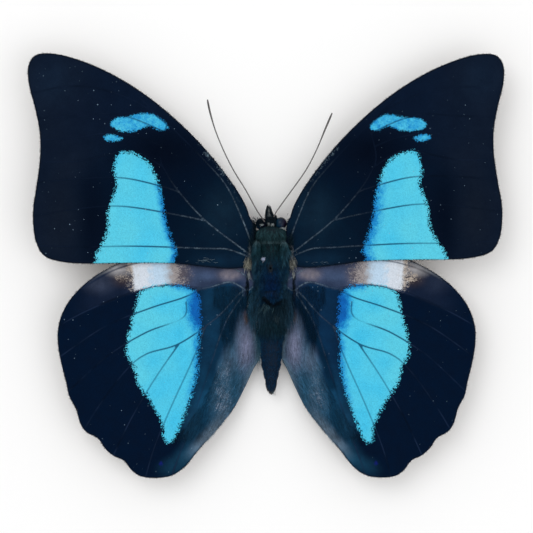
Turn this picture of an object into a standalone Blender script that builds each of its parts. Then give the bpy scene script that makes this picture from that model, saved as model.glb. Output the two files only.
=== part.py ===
"""A spread butterfly specimen, dried with its wings set flat, lying on its underside.

Lengths are millimetres times MM. The origin is on the flat patch under the thorax, +Y runs
to the head, +Z is up and the body's mid-plane is x = 0.
"""

import math

import bmesh
import bpy
from mathutils import Matrix, Vector
from mathutils.geometry import delaunay_2d_cdt

MM = 0.001
GAP = 0.3  # clearance between touching pieces

# Wings: both sides share one outline, drawn for the right side
MEMBRANE = 0.22
VEIN = 0.46
VEIN_TAPER = 0.5  # share of a vein's extra thickness lost at the margin
FOREWING_ROOT_Z = 7.05
FOREWING_TIP_RISE = 1.4
HINDWING_ROOT_Z = 6.2
HINDWING_TIP_RISE = 1.2
COSTA_SAG = 0.6  # the leading edge bends down a little over this width
COSTA_SAG_WIDTH = 9.0
HALF_SPAN = 50.0
GUTTER_WIDTH = 6.5  # the hindwing's inner margin bends down beside the abdomen
GUTTER_DEPTH = 3.5
FILL_SPACING = 4.2
FILL_CLEARANCE = 1.3

COSTA = [
    (4.3, 9.6), (5.2, 12.2), (7.7, 16.4), (12.0, 22.1), (16.8, 27.4), (22.5, 32.6),
    (28.45, 37.0), (34.65, 40.5), (41.0, 43.0), (45.6, 43.9),
]
FORE_TERMEN = [
    (48.6, 43.4), (50.0, 41.0), (49.8, 37.2), (48.6, 32.4), (47.7, 27.4), (47.7, 22.4),
    (48.4, 17.0), (49.2, 12.2), (49.3, 8.4), (48.7, 4.6), (46.9, 1.7), (43.0, 0.45),
]
FORE_DORSUM = [(38.0, 0.1), (30.0, 0.15), (21.0, 0.0), (14.0, -0.8), (9.0, -1.3), (5.2, -1.1)]
FORE_ROOT = [(2.95, -0.3), (2.95, 3.3), (3.5, 4.6), (3.4, 6.6), (3.55, 8.2)]

HIND_COSTA = [(4.6, -1.2), (9.0, 1.6), (15.0, 2.8), (22.0, 2.7), (28.4, 0.95), (33.5, -1.35)]
HIND_TERMEN = [
    (37.1, -3.65), (40.15, -6.45), (42.4, -9.65), (43.7, -13.4), (43.8, -17.2), (43.1, -21.4),
    (42.1, -25.4), (41.5, -28.1), (40.1, -30.8), (39.3, -33.6), (38.0, -35.6), (35.6, -37.0),
    (34.2, -39.0), (32.4, -40.6), (30.2, -41.7), (28.6, -43.7), (26.6, -45.0), (23.4, -45.3),
]
HIND_DORSUM = [
    (20.4, -44.8), (17.6, -42.9), (14.6, -39.2), (10.9, -35.0), (7.6, -30.8), (5.4, -26.6),
    (3.7, -22.9), (2.4, -20.4), (2.3, -17.4), (3.1, -13.4),
]
HIND_ROOT = [(4.6, -10.6), (4.9, -8.6), (4.3, -6.9), (2.95, -6.1), (2.95, -2.6)]

# Slots in the thorax for the wing roots: how far in they reach, and their ends along the body
SLOT_DEPTH_X = 2.65
SLOT_WIDTH = 5.0
FORE_SLOT = (-0.9, 3.9)
HIND_SLOT = (-6.7, -2.0)

# Vein routes, from the root outwards; the last point of most lies past the margin
FORE_VEINS = {
    "subcosta": [(3.6, 2.9), (5.8, 9.0), (9.0, 15.9), (13.9, 21.7), (20.5, 28.4), (27.0, 34.6)],
    "cubitus": [
        (3.4, 1.0), (7.6, 4.1), (13.7, 9.0), (18.8, 14.7), (21.5, 18.8), (22.7, 22.4), (21.3, 28.9),
    ],
    "radius": [(21.3, 28.9), (27.5, 33.6), (36.1, 36.6), (43.2, 36.8), (49.9, 35.4)],
    "media_1": [(21.6, 27.2), (27.6, 29.9), (33.0, 31.2), (40.0, 30.7), (48.6, 30.4)],
    "media_2": [(22.4, 24.4), (27.6, 26.3), (34.4, 27.1), (40.6, 26.2), (48.4, 25.9)],
    "media_3": [(22.5, 20.2), (28.3, 23.5), (34.0, 22.6), (40.0, 21.4), (48.4, 21.3)],
    "cubital_1": [(18.8, 14.7), (22.2, 15.9), (30.4, 17.8), (39.0, 17.8), (49.0, 17.0)],
    "cubital_2": [(13.7, 8.8), (20.2, 10.2), (30.5, 11.9), (39.1, 11.6), (49.8, 10.0)],
    "anal": [(3.5, 0.6), (8.7, 2.7), (14.1, 3.0), (27.9, 3.6), (39.9, 3.6), (49.2, 4.0)],
}
HIND_VEINS = {
    "costal": [(3.5, -4.0), (9.0, -0.6), (15.0, 0.6), (24.0, 0.4), (32.0, -1.6), (39.0, -5.6)],
    "radius": [
        (3.6, -5.2), (4.9, -5.9), (8.4, -4.2), (14.0, -5.5), (21.5, -4.8), (29.0, -6.5),
        (37.8, -10.2), (44.4, -13.8),
    ],
    "media_1": [(14.0, -5.5), (18.1, -7.5), (24.9, -9.7), (34.1, -13.5), (43.6, -20.0)],
    "media_2": [(17.4, -8.4), (18.1, -11.7), (25.3, -14.6), (31.5, -18.2), (35.4, -21.2), (42.6, -28.0)],
    "media_3": [
        (4.9, -5.9), (6.6, -6.8), (11.3, -11.8), (18.8, -17.1), (25.6, -19.3), (29.7, -22.6),
        (34.8, -29.3), (38.6, -35.4),
    ],
    "cubital_1": [(18.8, -17.1), (23.6, -24.1), (28.7, -32.8), (32.6, -41.0)],
    "cubital_2": [(13.4, -13.6), (16.0, -20.4), (20.2, -29.7), (23.9, -38.7), (26.0, -46.0)],
    "anal": [(5.6, -6.8), (9.4, -13.0), (12.6, -22.4), (15.8, -32.1), (20.6, -45.4)],
}

# How each side's wings were set: a turn about the root, forward positive, and a slight shrink
FORE_SET = {"left": (-0.65, 1.006, 1.008), "right": (0.65, 0.986, 0.982)}
HIND_SET = {"left": (0.0, 1.018, 1.001), "right": (0.0, 0.981, 0.999)}

# Body: centres and half sizes
MESOTHORAX = ((0.0, -1.5, 4.55), (3.85, 6.7, 4.95))
METATHORAX = ((0.1, -7.0, 4.6), (3.9, 4.2, 3.9))
COLLAR = ((0.15, 5.75, 5.7), (3.3, 1.9, 2.6))
TEGULA = ((2.85, 1.5, 8.0), (0.9, 3.1, 0.55))
TEGULA_TILT = 24.0
SCUTELLUM = ((0.2, -7.3, 8.1), (2.0, 1.5, 0.9))
PIN_HOLE = ((0.0, -1.3), 0.25, 3.0)  # place, radius, depth below the thorax's back
HEAD = ((0.2, 8.3, 5.4), (1.75, 1.45, 1.75))
EYE_RADIUS = 1.3
EYE_CENTRE = {"left": (-1.85, 8.0, 5.4), "right": (2.15, 8.15, 5.6)}
PALP_HALF = (0.32, 1.3, 0.42)
PALP_CENTRE = {"left": (-0.78, 10.3, 5.2), "right": (0.2, 10.25, 5.3)}
PALP_YAW = {"left": -4.0, "right": 18.0}
PALP_PITCH = 16.0
PROBOSCIS_CENTRE = (-0.25, 9.9, 3.1)
PROBOSCIS_TURNS = 2.2
PROBOSCIS_OUTER = 0.85
PROBOSCIS_INNER = 0.3
PROBOSCIS_RADIUS = 0.13

ABDOMEN_FRONT = (0.14, -12.7, 4.9)
ABDOMEN_FRONT_RADIUS = 2.45
ABDOMEN_LENGTH = 15.4
ABDOMEN_DROOP = 7.0
ABDOMEN_RINGS = 7
RING_GROOVE = 0.13
ABDOMEN_PROFILE = [
    (0.0, 2.45), (3.0, 2.45), (6.0, 2.3), (9.0, 2.05), (11.6, 1.45), (13.0, 1.2), (14.4, 0.95),
]

ANTENNA = {
    "left": [
        (-1.2, 8.45, 6.95), (-2.9, 10.9, 7.2), (-5.2, 15.1, 7.6), (-7.8, 19.3, 7.9),
        (-9.9, 23.5, 8.1), (-11.6, 27.7, 8.3), (-12.7, 31.5, 8.4), (-13.2, 34.0, 8.4),
    ],
    "right": [
        (0.7, 9.45, 6.9), (1.45, 10.9, 7.0), (4.5, 15.1, 7.5), (7.45, 19.3, 7.9),
        (9.65, 23.5, 8.1), (11.4, 27.7, 8.3), (12.9, 31.2, 8.4),
    ],
}
ANTENNA_SHAFT = 0.12
ANTENNA_CLUB = 0.2
CLUB_STARTS = 0.7  # as a share of the antenna's length
CLUB_FULL = 0.88

# Legs folded under the body, from hip to claw: each point's place and the tube's radius there
LEGS = {
    "foreleg": [
        (1.2, 4.85, 2.7, 0.25), (1.7, 6.9, 2.0, 0.28), (1.4, 8.3, 2.4, 0.2), (1.1, 7.4, 2.9, 0.14),
    ],
    "mid_leg": [
        (2.4, 1.4, 0.7, 0.25), (4.8, 3.4, 1.2, 0.36), (4.3, 0.2, 0.62, 0.26), (3.9, -3.0, 0.26, 0.2),
        (3.7, -5.4, 0.15, 0.14),
    ],
    "hind_leg": [
        (2.15, -5.5, 0.9, 0.25), (4.8, -4.2, 1.3, 0.36), (4.5, -8.2, 0.7, 0.26), (3.6, -11.6, 0.3, 0.2),
        (3.0, -14.2, 0.17, 0.14),
    ],
}

COLORS = {
    "wing": (0.012, 0.022, 0.045),
    "body": (0.02, 0.035, 0.045),
    "abdomen": (0.01, 0.03, 0.06),
    "eye": (0.015, 0.012, 0.02),
    "horn": (0.08, 0.075, 0.07),
}


def clear_scene():
    for item in list(bpy.data.objects):
        bpy.data.objects.remove(item, do_unlink=True)


def new_collection(name):
    collection = bpy.data.collections.new(name)
    bpy.context.scene.collection.children.link(collection)
    return collection


def new_material(name, color, roughness):
    material = bpy.data.materials.new(name)
    material.use_nodes = True
    shader = material.node_tree.nodes["Principled BSDF"]
    shader.inputs["Base Color"].default_value = (*color, 1.0)
    shader.inputs["Roughness"].default_value = roughness
    shader.inputs["Metallic"].default_value = 0.0
    return material


def add_object(name, mesh, collection, color=None, roughness=0.6):
    thing = bpy.data.objects.new(name, mesh)
    collection.objects.link(thing)
    if color:
        mesh.materials.append(new_material(name, COLORS[color], roughness))
    if collection is CUTTERS:
        thing.hide_render = True
        thing.display_type = "WIRE"
    return thing


def mesh_from(name, bm, smooth=True):
    mesh = bpy.data.meshes.new(name)
    bm.to_mesh(mesh)
    bm.free()
    if smooth:
        mesh.shade_smooth()
    return mesh


def spline_through(points, per_span):
    """Points of a Catmull-Rom curve through the given ones."""
    knots = [Vector(p) for p in points]
    padded = knots[:1] + knots + knots[-1:]
    curve = []
    for a, b, c, d in zip(padded, padded[1:], padded[2:], padded[3:]):
        for step in range(per_span):
            t = step / per_span
            bend = (2 * a - 5 * b + 4 * c - d) * t**2 + (3 * b - 3 * c + d - a) * t**3
            curve.append(0.5 * (2 * b + (c - a) * t + bend))
    curve.append(knots[-1])
    return curve


def ellipsoid(name, centre, half, collection, around=20, along=12, turn=(0, 0, 0), grow=0.0, color=None):
    """A sphere stretched to half sizes, its poles on Y, turned by angles in degrees and moved."""
    bm = bmesh.new()
    bmesh.ops.create_uvsphere(bm, u_segments=around, v_segments=along, radius=1.0)
    size = Matrix.Diagonal(Vector([(h + grow) * MM for h in half]).to_4d())
    roll = Matrix.Rotation(math.radians(turn[1]), 4, "Y")
    pitch = Matrix.Rotation(math.radians(turn[0]), 4, "X")
    yaw = Matrix.Rotation(math.radians(turn[2]), 4, "Z")
    turned = yaw @ pitch @ roll
    poles = Matrix.Rotation(math.radians(90.0), 4, "X")
    place = Matrix.Translation(Vector(centre) * MM)
    bmesh.ops.transform(bm, matrix=place @ turned @ size @ poles, verts=bm.verts)
    return add_object(name, mesh_from(name, bm), collection, color)


def boolean(target, tool, operation):
    modifier = target.modifiers.new(tool.name, "BOOLEAN")
    modifier.operation = operation
    modifier.solver = "EXACT"
    modifier.object = tool


def side_of(side):
    return -1.0 if side == "left" else 1.0


# Body


def build_thorax():
    thorax = ellipsoid("thorax", *MESOTHORAX, SPECIMEN, around=24, along=16, color="body")
    boolean(thorax, ellipsoid("metathorax", *METATHORAX, CUTTERS), "UNION")
    boolean(thorax, ellipsoid("collar", *COLLAR, CUTTERS), "UNION")
    boolean(thorax, ellipsoid("scutellum", *SCUTELLUM, CUTTERS, around=12, along=8), "UNION")
    (x, y, z), half = TEGULA
    for side in ("left", "right"):
        sign = side_of(side)
        tegula = ellipsoid(
            f"tegula_{side}", (sign * x, y, z), half, CUTTERS, around=12, along=8,
            turn=(0, sign * TEGULA_TILT, 0),
        )
        boolean(thorax, tegula, "UNION")
    for side in ("left", "right"):
        boolean(thorax, CUTTERS.objects[f"eye_socket_{side}"], "DIFFERENCE")
    boolean(thorax, waist_socket(), "DIFFERENCE")
    for side in ("left", "right"):
        boolean(thorax, root_slot("forewing", side, FORE_SLOT, FOREWING_ROOT_Z), "DIFFERENCE")
        boolean(thorax, root_slot("hindwing", side, HIND_SLOT, HINDWING_ROOT_Z), "DIFFERENCE")
    boolean(thorax, ground_cutter(), "DIFFERENCE")
    boolean(thorax, pin_hole_cutter(), "DIFFERENCE")


def waist_socket():
    half = [ABDOMEN_FRONT_RADIUS] * 3
    return ellipsoid("waist_socket", ABDOMEN_FRONT, half, CUTTERS, around=16, along=12, grow=GAP)


def box_cutter(name, centre, size):
    bm = bmesh.new()
    bmesh.ops.create_cube(bm, size=1.0)
    bmesh.ops.scale(bm, vec=Vector(size) * MM, verts=bm.verts)
    bmesh.ops.translate(bm, vec=Vector(centre) * MM, verts=bm.verts)
    return add_object(name, mesh_from(name, bm, smooth=False), CUTTERS)


def root_slot(wing, side, ends, height):
    """The slot in the thorax's side that a wing's root sits in."""
    back, front = ends
    centre = (side_of(side) * (SLOT_DEPTH_X + SLOT_WIDTH / 2), (back + front) / 2, height)
    return box_cutter(f"{wing}_slot_{side}", centre, (SLOT_WIDTH, front - back, VEIN + 2 * GAP))


def ground_cutter():
    """Takes off what would lie below the resting plane, and leaves the flat patch."""
    depth = 4.0
    width = 30.0
    return box_cutter("ground_cutter", (0.0, 0.0, -depth / 2), (width, width, depth))


def pin_hole_cutter():
    (x, y), radius, depth = PIN_HOLE
    back = MESOTHORAX[0][2] + MESOTHORAX[1][2]
    bm = bmesh.new()
    bmesh.ops.create_cone(
        bm, cap_ends=True, segments=10, radius1=radius * MM, radius2=radius * MM, depth=2 * depth * MM
    )
    bmesh.ops.translate(bm, vec=Vector((x, y, back)) * MM, verts=bm.verts)
    return add_object("pin_hole", mesh_from("pin_hole", bm, smooth=False), CUTTERS)


def build_head():
    head = ellipsoid("head", *HEAD, SPECIMEN, around=16, along=12, color="body")
    boolean(head, ellipsoid("neck_socket", *COLLAR, CUTTERS, grow=GAP), "DIFFERENCE")
    for side in ("left", "right"):
        boolean(head, CUTTERS.objects[f"eye_socket_{side}"], "DIFFERENCE")
        boolean(head, palp(f"palp_socket_{side}", side, CUTTERS, grow=GAP), "DIFFERENCE")


def build_eye(side):
    half = [EYE_RADIUS] * 3
    ellipsoid(f"eye_{side}", EYE_CENTRE[side], half, SPECIMEN, around=16, along=10, color="eye")
    ellipsoid(f"eye_socket_{side}", EYE_CENTRE[side], half, CUTTERS, around=16, along=10, grow=GAP)


def palp(name, side, collection, grow=0.0, color=None):
    centre = PALP_CENTRE[side]
    turn = (PALP_PITCH, 0, PALP_YAW[side])
    return ellipsoid(name, centre, PALP_HALF, collection, 10, 10, turn, grow, color)


def abdomen_profile():
    """Radius and height of the turned abdomen: a round front, rings with grooves, a blunt tip."""
    dome_steps = 4
    ring_steps = 3
    profile = []
    for step in range(dome_steps):
        angle = math.pi / 2 * step / dome_steps
        profile.append((ABDOMEN_FRONT_RADIUS * math.sin(angle), ABDOMEN_FRONT_RADIUS * math.cos(angle)))
    last = ABDOMEN_PROFILE[-1][0]
    steps = ring_steps * ABDOMEN_RINGS
    for step in range(steps + 1):
        along = last * step / steps
        groove = RING_GROOVE if step > 0 and step % ring_steps == 0 else 0.0
        profile.append((radius_at(along) - groove, -along))
    profile.append((0.0, -ABDOMEN_LENGTH))
    return profile


def build_abdomen():
    profile = abdomen_profile()
    bm = bmesh.new()
    verts = [bm.verts.new(Vector((x, 0.0, z)) * MM) for x, z in profile]
    for a, b in zip(verts, verts[1:]):
        bm.edges.new((a, b))
    abdomen = add_object("abdomen", mesh_from("abdomen", bm), SPECIMEN, "abdomen")
    abdomen.location = Vector(ABDOMEN_FRONT) * MM
    abdomen.rotation_euler = (math.radians(ABDOMEN_DROOP - 90.0), 0.0, 0.0)
    screw = abdomen.modifiers.new("turn", "SCREW")
    screw.steps = 16
    screw.render_steps = 16
    screw.use_merge_vertices = True
    screw.merge_threshold = 0.00001
    screw.use_smooth_shade = True


def radius_at(along):
    """The abdomen's radius at a distance behind its round front."""
    for (y0, r0), (y1, r1) in zip(ABDOMEN_PROFILE, ABDOMEN_PROFILE[1:]):
        if along <= y1:
            blend = (along - y0) / (y1 - y0)
            return r0 + (r1 - r0) * blend
    return ABDOMEN_PROFILE[-1][1]


def tube(name, points, radii, color, resolution=2):
    """A round tube through the points, in millimetres, with its radius given at each."""
    curve = bpy.data.curves.new(name, "CURVE")
    curve.dimensions = "3D"
    curve.bevel_depth = MM
    curve.bevel_resolution = resolution
    curve.use_fill_caps = True
    spline = curve.splines.new("POLY")
    spline.points.add(len(points) - 1)
    for spot, place, radius in zip(spline.points, points, radii):
        spot.co = (Vector(place) * MM).to_4d()
        spot.radius = radius
    curve.materials.append(new_material(name, COLORS[color], 0.5))
    SPECIMEN.objects.link(bpy.data.objects.new(name, curve))


def build_antenna(side):
    points = spline_through(ANTENNA[side], 3)
    last = len(points) - 1
    radii = []
    for i in range(len(points)):
        club = smoothstep(CLUB_STARTS, CLUB_FULL, i / last)
        radii.append(ANTENNA_SHAFT + (ANTENNA_CLUB - ANTENNA_SHAFT) * club)
    radii[-1] = ANTENNA_SHAFT
    tube(f"antenna_{side}", points, radii, "horn", resolution=1)


def build_proboscis():
    """The feeding tube, coiled like a watch spring in the body's mid-plane."""
    steps = 26
    start = math.radians(115.0)
    x, y, z = PROBOSCIS_CENTRE
    points = []
    for i in range(steps + 1):
        angle = start + 2 * math.pi * PROBOSCIS_TURNS * i / steps
        radius = PROBOSCIS_OUTER + (PROBOSCIS_INNER - PROBOSCIS_OUTER) * i / steps
        points.append((x, y + radius * math.cos(angle), z + radius * math.sin(angle)))
    tube("proboscis", points, [PROBOSCIS_RADIUS] * len(points), "horn", resolution=1)


def build_leg(kind, side):
    sign = side_of(side)
    route = [(sign * x, y, z, radius) for x, y, z, radius in LEGS[kind]]
    points = spline_through(route, 2)
    tube(f"{kind}_{side}", [p[:3] for p in points], [p[3] for p in points], "horn")


# Wings


def distance_to_line(point, line):
    """The distance from a point to a chain of points."""
    nearest = math.inf
    for a, b in zip(line, line[1:]):
        span = b - a
        share = max(0.0, min(1.0, (point - a).dot(span) / span.length_squared))
        nearest = min(nearest, (point - a - span * share).length)
    return nearest


def smoothstep(low, high, value):
    t = max(0.0, min(1.0, (value - low) / (high - low)))
    return t * t * (3 - 2 * t)


def forewing_height(point):
    """The height of the forewing's mid-surface, which climbs outwards and bends down along the costa."""
    out = max(0.0, point.x - 4.0) / HALF_SPAN
    edge = max(0.0, 1.0 - distance_to_line(point, COSTA_LINE) / COSTA_SAG_WIDTH)
    sag = COSTA_SAG * edge**2 * smoothstep(6.0, 20.0, point.x)
    return FOREWING_ROOT_Z + FOREWING_TIP_RISE * math.sin(out * math.pi / 2) - sag


def hindwing_height(point):
    """The height of the hindwing's mid-surface, which bends down along the inner margin."""
    out = max(0.0, point.x - 4.0) / HALF_SPAN
    inside = max(0.0, 1.0 - distance_to_line(point, GUTTER_LINE) / GUTTER_WIDTH)
    length = smoothstep(-7.0, -15.0, point.y) * smoothstep(-42.0, -22.0, point.y)
    return HINDWING_ROOT_Z + HINDWING_TIP_RISE * math.sin(out * math.pi / 2) - GUTTER_DEPTH * length * inside**2


def fill_points(outline, lines):
    """A triangular grid of points inside the outline, clear of it and of the veins."""
    chains = lines + [outline + outline[:1]]
    lowest = min(p.y for p in outline)
    highest = max(p.y for p in outline)
    widest = max(p.x for p in outline)
    points = []
    row = 0
    y = lowest
    while y < highest:
        x = FILL_SPACING * (0.5 if row % 2 else 0.0)
        while x < widest:
            place = Vector((x, y))
            clear = all(distance_to_line(place, chain) > FILL_CLEARANCE for chain in chains)
            if clear and inside_outline(place, outline):
                points.append(place)
            x += FILL_SPACING
        y += FILL_SPACING * math.sqrt(0.75)
        row += 1
    return points


def inside_outline(point, outline):
    crossings = 0
    for a, b in zip(outline, outline[1:] + outline[:1]):
        if (a.y > point.y) != (b.y > point.y):
            if point.x < a.x + (point.y - a.y) / (b.y - a.y) * (b.x - a.x):
                crossings += 1
    return crossings % 2 == 1


def build_wing(kind, side, outline, veins, height, setting):
    """A thin sheet inside the outline, thicker along its veins, mirrored for the left side."""
    lines = [spline_through(route, 2) for route in veins.values()]
    points = list(outline)
    edges = []
    for line in lines:
        first = len(points)
        points.extend(line)
        edges.extend((first + i, first + i + 1) for i in range(len(line) - 1))
    points.extend(fill_points(outline, lines))
    flat, _, faces, *_ = delaunay_2d_cdt(points, edges, [list(range(len(outline)))], 1, 1e-5)
    turn, stretch_x, stretch_y = setting
    sign = side_of(side)
    bm = bmesh.new()
    thick = bm.verts.layers.deform.verify()
    for spot in flat:
        place = Matrix.Rotation(math.radians(turn), 2) @ spot
        z = height(spot)
        vert = bm.verts.new(Vector((sign * place.x * stretch_x, place.y * stretch_y, z)) * MM)
        on_vein = min(distance_to_line(spot, line) for line in lines) < 0.05
        vert[thick][0] = 1.0 - VEIN_TAPER * spot.length / HALF_SPAN if on_vein else 0.0
    bm.verts.ensure_lookup_table()
    for face in faces:
        bm.faces.new([bm.verts[i] for i in face])
    bmesh.ops.recalc_face_normals(bm, faces=bm.faces)
    name = f"{kind}_{side}"
    wing = add_object(name, mesh_from(name, bm), SPECIMEN, "wing", roughness=0.5)
    wing.vertex_groups.new(name="veins")
    shell = wing.modifiers.new("membrane", "SOLIDIFY")
    shell.thickness = VEIN * MM
    shell.offset = 0.0
    shell.vertex_group = "veins"
    shell.thickness_vertex_group = MEMBRANE / VEIN


def forewing_outline():
    margin = spline_through(COSTA + FORE_TERMEN + FORE_DORSUM, 2)
    return margin + [Vector(p) for p in FORE_ROOT]


def hindwing_outline():
    margin = spline_through(HIND_COSTA + HIND_TERMEN + HIND_DORSUM, 2)
    return margin + [Vector(p) for p in HIND_ROOT]


clear_scene()
SPECIMEN = new_collection("butterfly_specimen")
CUTTERS = new_collection("cutters")
GUTTER_LINE = [Vector(p) for p in HIND_DORSUM]
COSTA_LINE = [Vector(p) for p in COSTA]

for each_side in ("left", "right"):
    build_eye(each_side)
    palp(f"palp_{each_side}", each_side, SPECIMEN, color="body")
    build_antenna(each_side)
    for each_kind in LEGS:
        build_leg(each_kind, each_side)
    build_wing("forewing", each_side, forewing_outline(), FORE_VEINS, forewing_height, FORE_SET[each_side])
    build_wing("hindwing", each_side, hindwing_outline(), HIND_VEINS, hindwing_height, HIND_SET[each_side])
build_thorax()
build_head()
build_abdomen()
build_proboscis()
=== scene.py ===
"""The looks of a spread butterfly specimen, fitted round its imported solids.

Sizes are millimetres times MM unless a name says otherwise. Wing shapes are drawn once, for
the right side, and mirrored. +Y runs to the head and +Z is up.
"""

import math

import bpy
import numpy as np
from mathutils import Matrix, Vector
from mathutils.geometry import delaunay_2d_cdt


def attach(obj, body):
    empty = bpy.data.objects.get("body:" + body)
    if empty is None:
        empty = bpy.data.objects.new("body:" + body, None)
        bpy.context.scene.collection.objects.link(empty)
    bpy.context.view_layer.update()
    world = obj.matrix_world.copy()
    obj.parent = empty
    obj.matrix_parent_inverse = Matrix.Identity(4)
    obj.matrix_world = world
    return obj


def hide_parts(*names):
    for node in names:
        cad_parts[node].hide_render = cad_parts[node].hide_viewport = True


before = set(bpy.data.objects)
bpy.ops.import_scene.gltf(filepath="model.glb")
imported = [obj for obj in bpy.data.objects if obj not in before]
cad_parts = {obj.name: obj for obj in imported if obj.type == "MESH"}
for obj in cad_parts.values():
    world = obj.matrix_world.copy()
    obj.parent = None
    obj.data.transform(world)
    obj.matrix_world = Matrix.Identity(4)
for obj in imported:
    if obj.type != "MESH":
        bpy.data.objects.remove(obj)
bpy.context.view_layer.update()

MM = 0.001
SIDES = {"left": -1, "right": 1}

# Camera: straight down on the wings, as in the photograph
PHOTO_WIDTH = 533
PHOTO_MM_PER_PIXEL = 0.20968
PHOTO_CENTRE = (-0.84, -0.94)
LENS = 150
SENSOR = 36
WING_LEVEL = 7.6

# Wing shapes, as the solids have them
FOREWING_ROOT_Z = 7.05
FOREWING_TIP_RISE = 1.4
HINDWING_ROOT_Z = 6.2
HINDWING_TIP_RISE = 1.2
COSTA_SAG = 0.6  # how far the leading edge bends down
COSTA_SAG_WIDTH = 9
HALF_SPAN = 50
GUTTER_WIDTH = 6.5  # the hindwing's inner margin bends down beside the abdomen
GUTTER_DEPTH = 3.5

COSTA = [
    (4.3, 9.6), (5.2, 12.2), (7.7, 16.4), (12, 22.1), (16.8, 27.4), (22.5, 32.6),
    (28.45, 37), (34.65, 40.5), (41, 43), (45.6, 43.9),
]
FORE_TERMEN = [
    (48.6, 43.4), (50, 41), (49.8, 37.2), (48.6, 32.4), (47.7, 27.4), (47.7, 22.4),
    (48.4, 17), (49.2, 12.2), (49.3, 8.4), (48.7, 4.6), (46.9, 1.7), (43, 0.45),
]
FORE_DORSUM = [(38, 0.1), (30, 0.15), (21, 0), (14, -0.8), (9, -1.3), (5.2, -1.1)]
FORE_ROOT = [(2.95, -0.3), (2.95, 3.3), (3.5, 4.6), (3.4, 6.6), (3.55, 8.2)]

HIND_COSTA = [(4.6, -1.2), (9, 1.6), (15, 2.8), (22, 2.7), (28.4, 0.95), (33.5, -1.35)]
HIND_TERMEN = [
    (37.1, -3.65), (40.15, -6.45), (42.4, -9.65), (43.7, -13.4), (43.8, -17.2), (43.1, -21.4),
    (42.1, -25.4), (41.5, -28.1), (40.1, -30.8), (39.3, -33.6), (38, -35.6), (35.6, -37),
    (34.2, -39), (32.4, -40.6), (30.2, -41.7), (28.6, -43.7), (26.6, -45), (23.4, -45.3),
]
HIND_DORSUM = [
    (20.4, -44.8), (17.6, -42.9), (14.6, -39.2), (10.9, -35), (7.6, -30.8), (5.4, -26.6),
    (3.7, -22.9), (2.4, -20.4), (2.3, -17.4), (3.1, -13.4),
]
HIND_ROOT = [(4.6, -10.6), (4.9, -8.6), (4.3, -6.9), (2.95, -6.1), (2.95, -2.6)]

# Vein routes, from the root outwards; the last point of most lies past the margin
FORE_VEINS = {
    "subcosta": [(3.6, 2.9), (5.8, 9), (9, 15.9), (13.9, 21.7), (20.5, 28.4), (27, 34.6)],
    "cubitus": [
        (3.4, 1), (7.6, 4.1), (13.7, 9), (18.8, 14.7), (21.5, 18.8), (22.7, 22.4), (21.3, 28.9),
    ],
    "radius": [(21.3, 28.9), (27.5, 33.6), (36.1, 36.6), (43.2, 36.8), (49.9, 35.4)],
    "media_1": [(21.6, 27.2), (27.6, 29.9), (33, 31.2), (40, 30.7), (48.6, 30.4)],
    "media_2": [(22.4, 24.4), (27.6, 26.3), (34.4, 27.1), (40.6, 26.2), (48.4, 25.9)],
    "media_3": [(22.5, 20.2), (28.3, 23.5), (34, 22.6), (40, 21.4), (48.4, 21.3)],
    "cubital_1": [(18.8, 14.7), (22.2, 15.9), (30.4, 17.8), (39, 17.8), (49, 17)],
    "cubital_2": [(13.7, 8.8), (20.2, 10.2), (30.5, 11.9), (39.1, 11.6), (49.8, 10)],
    "anal": [(3.5, 0.6), (8.7, 2.7), (14.1, 3), (27.9, 3.6), (39.9, 3.6), (49.2, 4)],
}
HIND_VEINS = {
    "costal": [(3.5, -4), (9, -0.6), (15, 0.6), (24, 0.4), (32, -1.6), (39, -5.6)],
    "radius": [
        (3.6, -5.2), (4.9, -5.9), (8.4, -4.2), (14, -5.5), (21.5, -4.8), (29, -6.5),
        (37.8, -10.2), (44.4, -13.8),
    ],
    "media_1": [(14, -5.5), (18.1, -7.5), (24.9, -9.7), (34.1, -13.5), (43.6, -20)],
    "media_2": [
        (17.4, -8.4), (18.1, -11.7), (25.3, -14.6), (31.5, -18.2), (35.4, -21.2), (42.6, -28),
    ],
    "media_3": [
        (4.9, -5.9), (6.6, -6.8), (11.3, -11.8), (18.8, -17.1), (25.6, -19.3), (29.7, -22.6),
        (34.8, -29.3), (38.6, -35.4),
    ],
    "cubital_1": [(18.8, -17.1), (23.6, -24.1), (28.7, -32.8), (32.6, -41)],
    "cubital_2": [(13.4, -13.6), (16, -20.4), (20.2, -29.7), (23.9, -38.7), (26, -46)],
    "anal": [(5.6, -6.8), (9.4, -13), (12.6, -22.4), (15.8, -32.1), (20.6, -45.4)],
}

# How each side's wings were set: a turn about the root, forward positive, and a slight shrink
FORE_SET = {"left": (-0.65, 1.006, 1.008), "right": (0.65, 0.986, 0.982)}
HIND_SET = {"left": (0, 1.018, 1.001), "right": (0, 0.981, 0.999)}

# Colour marks, drawn for the right side
FORE_BAND = [
    (31.2, 23), (28.3, 22.9), (25.7, 21.4), (24.3, 19.4), (23.2, 16.4), (22.4, 13.4),
    (22.1, 10.6), (21.4, 7.4), (20.4, 4.4), (19.6, 2.2), (20.4, 0.6), (21, -2),
    (35.4, -2), (36.3, 1.2), (34.9, 4.2), (33.8, 7.4), (33.7, 10.6), (32.8, 13.6),
    (31.8, 16.4), (32.4, 19.4),
]
FORE_SPOTS = {
    "left": [
        (33, 29), (31.7, 30.3), (29, 30.6), (25.8, 31.3), (22.9, 30.4), (21, 28.3),
        (22.8, 27.6), (25, 28.5), (28, 27.5), (31, 27.6),
    ],
    "right": [
        (33.4, 28.5), (32.4, 30.1), (29, 30.5), (25.6, 31.2), (23.2, 30.5), (21.4, 28.5),
        (23.3, 27.8), (25.4, 28.8), (28.2, 27.7), (31.2, 27.7),
    ],
}
SMALL_SPOT = [(34.4, 26.3), (33.2, 26.9), (31.6, 26.6), (30.6, 26), (31.8, 25.5), (33.6, 25.6)]
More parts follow.
